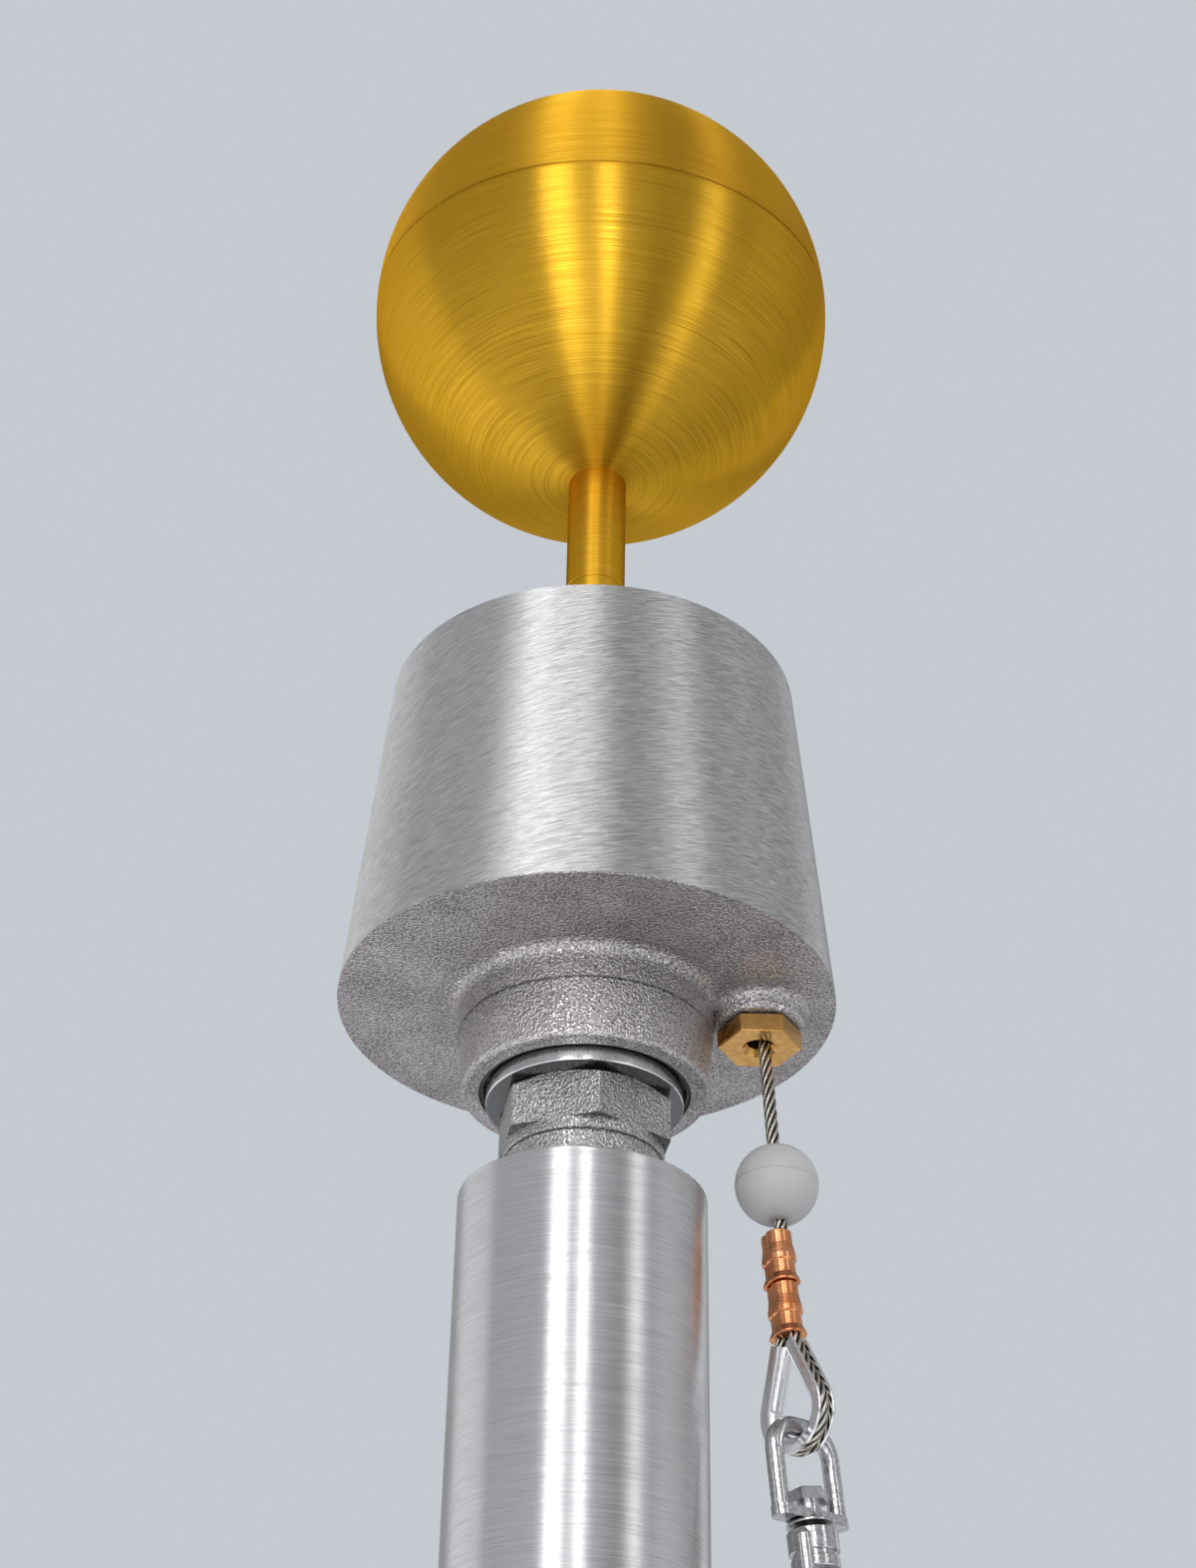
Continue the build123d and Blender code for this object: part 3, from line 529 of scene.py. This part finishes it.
LAMP_DISTANCE = 2.4
LAMP_HEIGHT = 1.4
LAMP_LENGTH = 2.0
LAMP_LEAN = math.radians(6)
STRIPS = (
    ("key_left", -20, 0.5, 14.2),
    ("key_front", 2.0, 0.17, 9.2),
    ("fill_right", 49, 0.3, 4.0),
)
LOW_LAMP_DISTANCE = 1.6
LOW_LAMP_HEIGHT = 0.02
LOW_LAMP_LENGTH = 1.5
LOW_STRIPS = (
    ("low_left", -15, 0.4, 4.4),
    ("low_front", 5, 0.12, 1.3),
    ("low_right", 50, 0.3, 1.6),
)


def add_light(name, width, length, power, where, facing, upwards):
    """Soft lamp, facing a direction, with its length along another."""
    data = bpy.data.lights.new(name, "AREA")
    data.shape = "RECTANGLE"
    data.size = width
    data.size_y = length
    data.energy = power
    lamp = bpy.data.objects.new(name, data)
    back = -facing.normalized()
    up = upwards.normalized()
    turn = Matrix((up.cross(back), up, back)).transposed().to_4x4()
    lamp.matrix_world = Matrix.Translation(where) @ turn
    lamp.visible_camera = False
    bpy.context.scene.collection.objects.link(lamp)


def add_strip(name, azimuth, width, power):
    """Tall lamp that leans to its side and faces the pole."""
    turn = math.radians(azimuth)
    outward = Vector(round_point(azimuth, 1.0, 0.0))
    across = Vector((math.cos(turn), math.sin(turn), 0.0))
    upwards = Vector((0, 0, math.cos(LAMP_LEAN))) - across * math.sin(LAMP_LEAN)
    where = outward * LAMP_DISTANCE + Vector((0, 0, LAMP_HEIGHT))
    add_light(name, width, LAMP_LENGTH, power, where, -outward, upwards)


def add_low_strip(name, azimuth, width, power):
    """Lamp just over the floor, facing up, along a radius."""
    outward = Vector(round_point(azimuth, 1.0, 0.0))
    where = outward * LOW_LAMP_DISTANCE + Vector((0, 0, LOW_LAMP_HEIGHT))
    add_light(name, width, LOW_LAMP_LENGTH, power, where, Vector((0, 0, 1)), outward)


def setting():
    """World, floor, screens, lamps and camera."""
    bpy.context.scene.view_settings.view_transform = "Standard"
    add_world()
    add_floor()
    add_screens()
    for strip in STRIPS:
        add_strip(*strip)
    for strip in LOW_STRIPS:
        add_low_strip(*strip)
    add_camera()


# Halyard's route. The eye's own lengths are in millimetres

ROPE_HALF = 2.4
ROPE_RADIUS = ROPE_HALF * MM
ROPE_INSIDE = 26
ROPE_EXIT = Vector((66.2, 0.0, 564.4)) * MM
EYE_ORIGIN = Vector((68.5, 1.8, 490.2)) * MM
EYE_LEAN = math.radians(5.0)
EYE_TURN = math.radians(-51.0)
EYE_AXIS = Vector((-math.sin(EYE_LEAN), 0.0, math.cos(EYE_LEAN)))
LEAN_OUT = Vector((math.cos(EYE_LEAN), 0.0, math.sin(EYE_LEAN)))
EYE_SIDE = LEAN_OUT * math.cos(EYE_TURN) + Vector((0, math.sin(EYE_TURN), 0))
EYE_BOTTOM = 80.6
EYE_RADIUS = 12.0
EYE_CORNERS = 5
LEG_OFFSET = 2.7
SLEEVE_LENGTH = 19.4
SLEEVE_GAP = 0.2
CROWN_DROP = 2.2
TAIL_DROP = 1.0
ROUTE_STEPS = 24
ROUTE_POINT_STEP = 0.7 * MM


def eye_point(along, drop):
    """Point in the eye's plane, in millimetres along it and down it."""
    return EYE_ORIGIN + (EYE_SIDE * along - EYE_AXIS * drop) * MM


ROPE_TOP = eye_point(LEG_OFFSET, 0)
ROPE_DOWN = (ROPE_TOP - ROPE_EXIT).normalized()


def nurbs_line(points, steps):
    """Points on the smooth line that has the given points as its control points."""
    curve = bpy.data.curves.new("route", "CURVE")
    curve.dimensions = "3D"
    spline = curve.splines.new("NURBS")
    spline.points.add(len(points) - 1)
    for target, point in zip(spline.points, points):
        target.co = (*point, 1.0)
    spline.order_u = 3
    spline.use_endpoint_u = True
    spline.resolution_u = steps
    obj = bpy.data.objects.new("route", curve)
    bpy.context.scene.collection.objects.link(obj)
    bpy.context.view_layer.update()
    mesh = bpy.data.meshes.new_from_object(obj)
    line = [v.co.copy() for v in mesh.vertices]
    bpy.data.objects.remove(obj)
    bpy.data.meshes.remove(mesh)
    return line


def evenly(line, step):
    """The same line with its points a fixed step apart."""
    reach = [0.0]
    for a, b in zip(line, line[1:]):
        reach.append(reach[-1] + (b - a).length)
    count = max(2, round(reach[-1] / step))
    result = []
    i = 0
    for k in range(count + 1):
        want = reach[-1] * k / count
        while i < len(line) - 2 and reach[i + 1] < want:
            i += 1
        share = (want - reach[i]) / (reach[i + 1] - reach[i])
        result.append(line[i].lerp(line[i + 1], share))
    return result, reach[-1] / count


def tube_frames(line):
    """Direction and two steady side vectors at each point of a line."""
    frames = []
    side = None
    for i in range(len(line)):
        ahead = (line[min(i + 1, len(line) - 1)] - line[max(i - 1, 0)]).normalized()
        if side is None:
            side = ahead.orthogonal().normalized()
        side = (side - ahead * side.dot(ahead)).normalized()
        frames.append((ahead, side, ahead.cross(side)))
    return frames


def rope_route():
    """Control points of the rope: down from the drum, round the eye and back up."""
    center = EYE_BOTTOM - EYE_RADIUS - ROPE_HALF
    crown = 2 * SLEEVE_LENGTH + SLEEVE_GAP + CROWN_DROP
    reach = math.hypot(center - crown, LEG_OFFSET)
    leg = math.asin(EYE_RADIUS / reach) - math.atan(LEG_OFFSET / (center - crown))
    corner_turn = (math.pi + 2 * leg) / EYE_CORNERS
    corner_radius = EYE_RADIUS / math.cos(corner_turn / 2)
    corners = []
    for k in range(EYE_CORNERS):
        angle = leg - corner_turn * (k + 0.5)
        along = corner_radius * math.cos(angle)
        corners.append(eye_point(along, center - corner_radius * math.sin(angle)))
    first_crown = eye_point(LEG_OFFSET, crown)
    last_crown = eye_point(-LEG_OFFSET, crown)
    short = 2 * EYE_RADIUS * math.tan(corner_turn / 2) * MM
    first_leg = corners[0] + (first_crown - corners[0]).normalized() * short
    last_leg = corners[-1] + (last_crown - corners[-1]).normalized() * short
    near = (first_crown - first_leg).length / MM
    start = ROPE_EXIT - ROPE_DOWN * ROPE_INSIDE * MM
    points = [start, ROPE_TOP, eye_point(LEG_OFFSET, crown - near), first_crown, first_leg]
    points += corners
    points += [
        last_leg, last_crown,
        eye_point(-LEG_OFFSET, crown - near), eye_point(-LEG_OFFSET, TAIL_DROP),
    ]
    return points


# Halyard rope: a lobed tube of six strands, laid round the route's own line

STRANDS = 6
STRAND_POINTS = 22
STRAND_LAY = 27 * MM
STRAND_ARC = math.radians(104)
WIRES = 12
WIRE_LAY = 13 * MM
WIRE_VALLEY = 0.97
WIRE_RISE = 0.03


def rope_section(turn, wire_turn):
    """Lobed outline of the rope: arcs of its strands, each with its wires' ripple."""
    center = ROPE_RADIUS * 2 / 3
    outline = []
    for strand in range(STRANDS):
        heading = turn + 2 * math.pi * strand / STRANDS
        for k in range(STRAND_POINTS):
            angle = STRAND_ARC * (2 * k / (STRAND_POINTS - 1) - 1)
            ripple = abs(math.sin((angle - wire_turn) * WIRES / 2))
            radius = ROPE_RADIUS / 3 * (WIRE_VALLEY + WIRE_RISE * ripple)
            x = center + radius * math.cos(angle)
            y = radius * math.sin(angle)
            outline.append((
                x * math.cos(heading) - y * math.sin(heading),
                x * math.sin(heading) + y * math.cos(heading),
            ))
    return outline


def make_rope():
    """Wire rope on its route, with how near each point is to its strand's crown."""
    line, step = evenly(nurbs_line(rope_route(), ROUTE_STEPS), ROUTE_POINT_STEP)
    rings = []
    for i, (point, (_, side, other)) in enumerate(zip(line, tube_frames(line))):
        run = 2 * math.pi * i * step
        section = rope_section(run / STRAND_LAY, -run / WIRE_LAY)
        rings.append([point + side * x + other * y for x, y in section])
    made = skin("wire_rope", rings)
    # How near each point is to its strand's crown; the rope's material paints shade in the
    # grooves, where this is low.
    crown_lit = made.data.attributes.new("crown_lit", "FLOAT", "POINT")
    last = STRAND_POINTS - 1
    valley = [abs(2 * (k % STRAND_POINTS) / last - 1) for k in range(len(rings[0]))]
    for vertex, value in zip(made.data.vertices, crown_lit.data):
        value.value = 1.0 - valley[vertex.index % len(valley)]
    return made, line


# Painted shade in the grooves between strands, and soil, share the dark colour.
ROPE_SHADE_AND_SOIL = (0.06, 0.052, 0.04)
ROPE_STEEL = (0.62, 0.6, 0.54)
ROPE_SOIL_SCALE = 260
ROPE_SOIL_SHARE = 0.4
ROPE_SHADE_EDGE = 0.45


def rope_material():
    """Stainless wire: bright on the strands' crowns, with painted shade in the grooves between
    them and patches of soil.
    """
    mat, tree, shader = material("wire_rope", (0.56, 0.54, 0.5), 1.0, 0.3)
    soil_and_shade = noise(tree, position(tree), ROPE_SOIL_SCALE)
    strand = tree.nodes.new("ShaderNodeAttribute")
    strand.attribute_name = "crown_lit"
    patches = math_node(tree, "MULTIPLY", soil_and_shade, ROPE_SOIL_SHARE)
    # Painted shade in the grooves between strands, mixed with soil patches.
    shade_and_soil_mix = math_node(tree, "ADD", strand.outputs["Fac"], patches)
    vary_color(tree, shader, between(tree, shade_and_soil_mix, ROPE_SHADE_EDGE, 1.0), ROPE_SHADE_AND_SOIL, ROPE_STEEL)
    vary_gloss(tree, shader, soil_and_shade, 0.36, 0.2)
    return mat


rope, rope_path = make_rope()
rope.data.materials.append(rope_material())
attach(rope, "truck")
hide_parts("halyard_rope")


# Stop ball

STOP_BALL_LEVEL = 508.5 * MM
STOP_BALL_RADIUS = 15 * MM
STOP_BALL_BORE = 2.7 * MM
STOP_BALL_STEPS = 96
STOP_BALL_SIDES = 160
MOUTH_WIDTH = 0.3 * MM
MOUTH_DROP = 0.35 * MM
RIDGE_HEIGHT = 0.06 * MM
RIDGE_WIDTH = 0.012


def make_stop_ball():
    """Moulded ball on the rope, bored through, with a fine parting line."""
    outline = []
    first = math.asin((STOP_BALL_BORE + MOUTH_WIDTH) / STOP_BALL_RADIUS)
    for k in range(STOP_BALL_STEPS + 1):
        angle = first + (math.pi - 2 * first) * k / STOP_BALL_STEPS
        ridge = RIDGE_HEIGHT * math.exp(-(((angle - math.pi / 2) / RIDGE_WIDTH) ** 2))
        radius = STOP_BALL_RADIUS + ridge
        outline.append((radius * math.sin(angle), radius * math.cos(angle)))
    height = math.sqrt(STOP_BALL_RADIUS**2 - STOP_BALL_BORE**2) - MOUTH_DROP
    outline.insert(0, (STOP_BALL_BORE, height))
    outline.append((STOP_BALL_BORE, -height))
    center = ROPE_EXIT + ROPE_DOWN * ((ROPE_EXIT.z - STOP_BALL_LEVEL) / -ROPE_DOWN.z)
    tilt = Vector((0, 0, -1)).rotation_difference(ROPE_DOWN).to_matrix().to_4x4()
    return lathe("nylon_ball", outline, STOP_BALL_SIDES, Matrix.Translation(center) @ tilt)


NYLON = (0.52, 0.52, 0.525)
NYLON_LINE = (0.42, 0.42, 0.43)
NYLON_LINE_EDGE = (0.0001, 0.0004)
FROST_SCALE = 900
FROST_DETAIL = 2.0
FROST_DEPTH = 0.00003


def nylon_material():
    """Frosted nylon with a faint line where the mould's halves met."""
    mat, tree, shader = material("frosted_nylon", (0.6, 0.6, 0.605), 0.0, 0.5)
    shader.inputs["Specular IOR Level"].default_value = 0.3
    shader.inputs["Subsurface Weight"].default_value = 0.8
    shader.inputs["Subsurface Radius"].default_value = (1.0, 0.95, 0.9)
    shader.inputs["Subsurface Scale"].default_value = 0.03
    frost = noise(tree, position(tree), FROST_SCALE, FROST_DETAIL)
    vary_gloss(tree, shader, frost, 0.42, 0.58)
    add_relief(tree, shader, frost, FROST_DEPTH)
    apart = distance_from(tree, split(tree, position(tree))["Z"], STOP_BALL_LEVEL)
    vary_color(tree, shader, between(tree, apart, *NYLON_LINE_EDGE), NYLON_LINE, NYLON)
    return mat


nylon_ball = make_stop_ball()
nylon_ball.data.materials.append(nylon_material())
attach(nylon_ball, "truck")
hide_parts("stop_ball")


# Ball: two spun halves that meet at a seam, which the maker closed a little askew

BALL_CENTER = Vector((0.0, 0.0, 941.8)) * MM
BALL_RADIUS = 101.6 * MM
BALL_SIDES = 192
BALL_ROWS = 72
POLE_ANGLE = 0.0005
SEAM_RISE = 2.3 * MM
SEAM_TILT = 0.1066

# The rim's way into the seam: millimetres from the seam, and millimetres deep
SEAM_EDGE = ((1.1, 0.0), (0.78, 0.05), (0.58, 0.16), (0.46, 0.34), (0.42, 1.0), (0.01, 1.1))


def ball_half(name, upper):
    """Half of the ball, its rim rounded into the seam."""
    way = -1 if upper else 1
    first = POLE_ANGLE if upper else math.pi - POLE_ANGLE
    rings = []
    for k in range(BALL_ROWS + len(SEAM_EDGE)):
        ring = []
        for i in range(BALL_SIDES):
            turn = 2 * math.pi * i / BALL_SIDES
            rise = SEAM_RISE + SEAM_TILT * BALL_RADIUS * math.sin(turn)
            seam = math.acos(rise / BALL_RADIUS)
            if k < BALL_ROWS:
                last = seam + way * SEAM_EDGE[0][0] * MM / BALL_RADIUS
                angle = first + (last - first) * k / BALL_ROWS
                radius = BALL_RADIUS
            else:
                gap, depth = SEAM_EDGE[k - BALL_ROWS]
                angle = seam + way * gap * MM / BALL_RADIUS
                radius = BALL_RADIUS - depth * MM
            level = radius * math.sin(angle)
            ring.append(BALL_CENTER + Vector((
                level * math.cos(turn), level * math.sin(turn), radius * math.cos(angle),
            )))
        rings.append(ring)
    return skin(name, rings)


# Gilt metal

GOLD_DARK = (0.62, 0.325, 0.016)
GOLD_LIGHT = (0.87, 0.515, 0.04)
GOLD_EDGE = (0.5, 0.32, 0.08, 1)
GOLD_ALONG = 2600
BALL_AROUND = 26
BALL_SCRATCH = 0.000012


def ball_run(tree):
    """Position that spun scratches on the ball follow."""
    return meridian(tree, BALL_CENTER.z, BALL_RADIUS)


def gilt(name, roughness, aniso, around, depth, run=position):
    """Gold-coloured brushed metal under a thin coat."""
    mat, _, shader = brushed(
        name, GOLD_DARK, GOLD_LIGHT, roughness, aniso, around, GOLD_ALONG, depth, run=run,
    )
    shader.inputs["Specular Tint"].default_value = GOLD_EDGE
    shader.inputs["Coat Weight"].default_value = 0.08
    shader.inputs["Coat Roughness"].default_value = 0.3
    return mat


# Truck housing: brushed drum over a cast underside, neck and boss

DRUM_SLANT = math.radians(12)
DRUM_RADIUS = 0.087
DRUM_DARK = (0.38, 0.38, 0.38)
DRUM_LIGHT = (0.9, 0.9, 0.9)
CAST_DARK = (0.17, 0.162, 0.167)
CAST_LIGHT = (0.8, 0.765, 0.775)
CAST_GLOSS = 0.34
HOUSING_UNDERSIDE = 0.5792
UNDERSIDE_EDGE = 0.0001
# Painted shade on the housing's faces that look down.
UNDERSIDE_SHADE = 0.24
NECK_PARTING = 0.5653
PARTING_EDGE = (0.0001, 0.0005)
PARTING_SOIL = 0.45
PARTING_REACH = 0.049
WANDER_SCALE = 60
WANDER_RISE = -0.001


def drum_run(tree):
    """Position that the drum's slanted brushing follows."""
    return helix(tree, DRUM_RADIUS * math.tan(DRUM_SLANT))


def housing_material():
    """Brushed above the drum's lower edge, cast below it and under it."""
    mat, tree, drum = brushed(
        "drum_brushed", DRUM_DARK, DRUM_LIGHT, 0.4, 1.0, 150, 2300, 0.00011,
        0.3, drum_run, DRUM_SLANT,
    )
    cast = tree.nodes.new("ShaderNodeBsdfPrincipled")
    cast.inputs["Metallic"].default_value = 1.0
    where = split(tree, position(tree))
    wander = noise(tree, position(tree), WANDER_SCALE, 2.0)
    rise = math_node(tree, "MULTIPLY", wander, WANDER_RISE)
    height = math_node(tree, "ADD", where["Z"], rise)
    apart = distance_from(tree, height, NECK_PARTING)
    line = between(tree, apart, *PARTING_EDGE, PARTING_SOIL, 0.0)
    reach = math_node(tree, "LESS_THAN", where["X"], PARTING_REACH)
    line = math_node(tree, "MULTIPLY", line, reach)
    # Painted shade: faces that look down are darkened, and the parting line's dark mark joins it.
    under = math_node(tree, "MULTIPLY", facing_down(tree), UNDERSIDE_SHADE)
    soil_and_shade = math_node(tree, "MAXIMUM", line, under)
    sand_cast(tree, cast, CAST_DARK, CAST_LIGHT, CAST_GLOSS, soil_and_shade)
    edge = HOUSING_UNDERSIDE + UNDERSIDE_EDGE
    above = between(tree, height, edge, edge + UNDERSIDE_EDGE)
    mix = tree.nodes.new("ShaderNodeMixShader")
    link(tree, above, mix.inputs[0])
    link(tree, cast.outputs[0], mix.inputs[1])
    link(tree, drum.outputs[0], mix.inputs[2])
    link(tree, mix.outputs[0], tree.nodes["Material Output"].inputs["Surface"])
    return mat


# Painted shade on the spindle's faces that look down.
SPINDLE_SHADE = 0.5


def spindle_material():
    """Sand-cast metal, with painted shade on its faces that look down."""
    mat, tree, shader = material("cast_spindle", (0.6, 0.6, 0.6), 1.0, 0.4)
    soil_and_shade = math_node(tree, "MULTIPLY", facing_down(tree), SPINDLE_SHADE)
    sand_cast(tree, shader, (0.19, 0.19, 0.19), (0.76, 0.76, 0.76), 0.36, soil_and_shade)
    return mat


RING_SIDE = (0.86, 0.86, 0.87)
# Painted shade on the ring's faces that look down.
RING_UNDERSIDE_SHADE = (0.16, 0.16, 0.165)


def ring_material():
    """Bright turned metal, with painted shade on its faces that look down."""
    mat, tree, shader = brushed(
        "turned_ring", RING_UNDERSIDE_SHADE, RING_SIDE, 0.2, 0.6, 30, 3000, 0.00001,
    )
    # Painted shade: faces that look down take the dark colour.
    vary_color(tree, shader, facing_down(tree), RING_SIDE, RING_UNDERSIDE_SHADE)
    return mat


COPPER_DARK = (0.62, 0.22, 0.09)
COPPER_LIGHT = (0.8, 0.36, 0.17)
COPPER_LINES = (300, 300, 2600)
COPPER_CLOUD = 130
COPPER_DEPTH = 0.000012


def copper_material():
    """Pressed copper: clouded colour and fine lines round it."""
    mat, tree, shader = material("crimp_copper", (0.72, 0.3, 0.14), 1.0, 0.3)
    lines = noise(tree, position(tree, COPPER_LINES))
    cloud = noise(tree, position(tree), COPPER_CLOUD)
    cloud = between(tree, cloud, *CLOUD_BAND)
    vary_color(tree, shader, cloud, COPPER_DARK, COPPER_LIGHT)
    vary_gloss(tree, shader, lines, 0.34, 0.2)
    add_relief(tree, shader, lines, COPPER_DEPTH)
    return mat


# Dressing of the CAD's own solids, and the ball's two halves over theirs

def dress(mat, *nodes):
    """Give CAD nodes a material."""
    for node in nodes:
        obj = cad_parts[node]
        obj.data.materials.clear()
        obj.data.materials.append(mat)


pole, _, _ = brushed(
    "pole_brushed", (0.6, 0.6, 0.61), (0.82, 0.82, 0.83), 0.36, 1.0, 60, 2800, 0.00003,
)
dress(housing_material(), "truck_housing")
dress(spindle_material(), "spindle")
dress(pole, "pole_tube", "pole_plug", "top_cover")
dress(gilt("gold_stem", 0.36, 0.35, 60, 0.000004), "finial_rod", "finial_stem")
gold_ball = gilt("gold_ball", 0.4, 1.0, BALL_AROUND, BALL_SCRATCH, ball_run)
gold_cap = gilt("gold_cap", 0.6, 1.0, BALL_AROUND, BALL_SCRATCH, ball_run)
for name, upper, node, gold in (
    ("gilt_ball_top", True, "ball_upper", gold_cap),
    ("gilt_ball_bottom", False, "ball_lower", gold_ball),
):
    half = ball_half(name, upper)
    half.data.materials.append(gold)
    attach(half, "truck")
    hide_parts(node)

bright_steel = clouded("bright_steel", (0.84, 0.84, 0.85), 1.0, 0.16, 500, (0.05, 0.16))
dress(bright_steel, "thimble")

forged_steel = clouded(
    "forged_steel", (0.62, 0.62, 0.63), 1.0, 0.2, 700, (0.24, 0.1),
    ((0.42, 0.42, 0.43), (0.66, 0.66, 0.67)), 0.6, 0.00009,
)
dress(forged_steel, "swivel_bow", "swivel_pin", "snap_hook", "gate_pin", "snap_gate")

turned, _, _ = brushed(
    "turned_metal", (0.66, 0.66, 0.67), (0.88, 0.88, 0.89), 0.28, 0.6, 30, 3000, 0.00001,
)
dress(turned, "spindle_nut", "cover_screws")
dress(ring_material(), "thrust_ring")

bronze, _, _ = brushed(
    "bearing_bronze", (0.5, 0.34, 0.15), (0.7, 0.5, 0.26), 0.3, 0.5, 30, 2000, 0.00001,
)
dress(bronze, "lower_bearing", "upper_bearing")

brass = clouded(
    "outlet_brass", (0.8, 0.55, 0.18), 1.0, 0.18, 350, (0.26, 0.14),
    ((0.66, 0.36, 0.1), (0.8, 0.46, 0.15)),
)
dress(brass, "halyard_outlet")

rubber = clouded("seal_rubber", (0.02, 0.02, 0.022), 0.0, 0.55, 300, (0.45, 0.65))
dress(rubber, "outlet_gasket", "neck_seal")
dress(copper_material(), "upper_sleeve", "lower_sleeve")


# The scene round the part

setting()
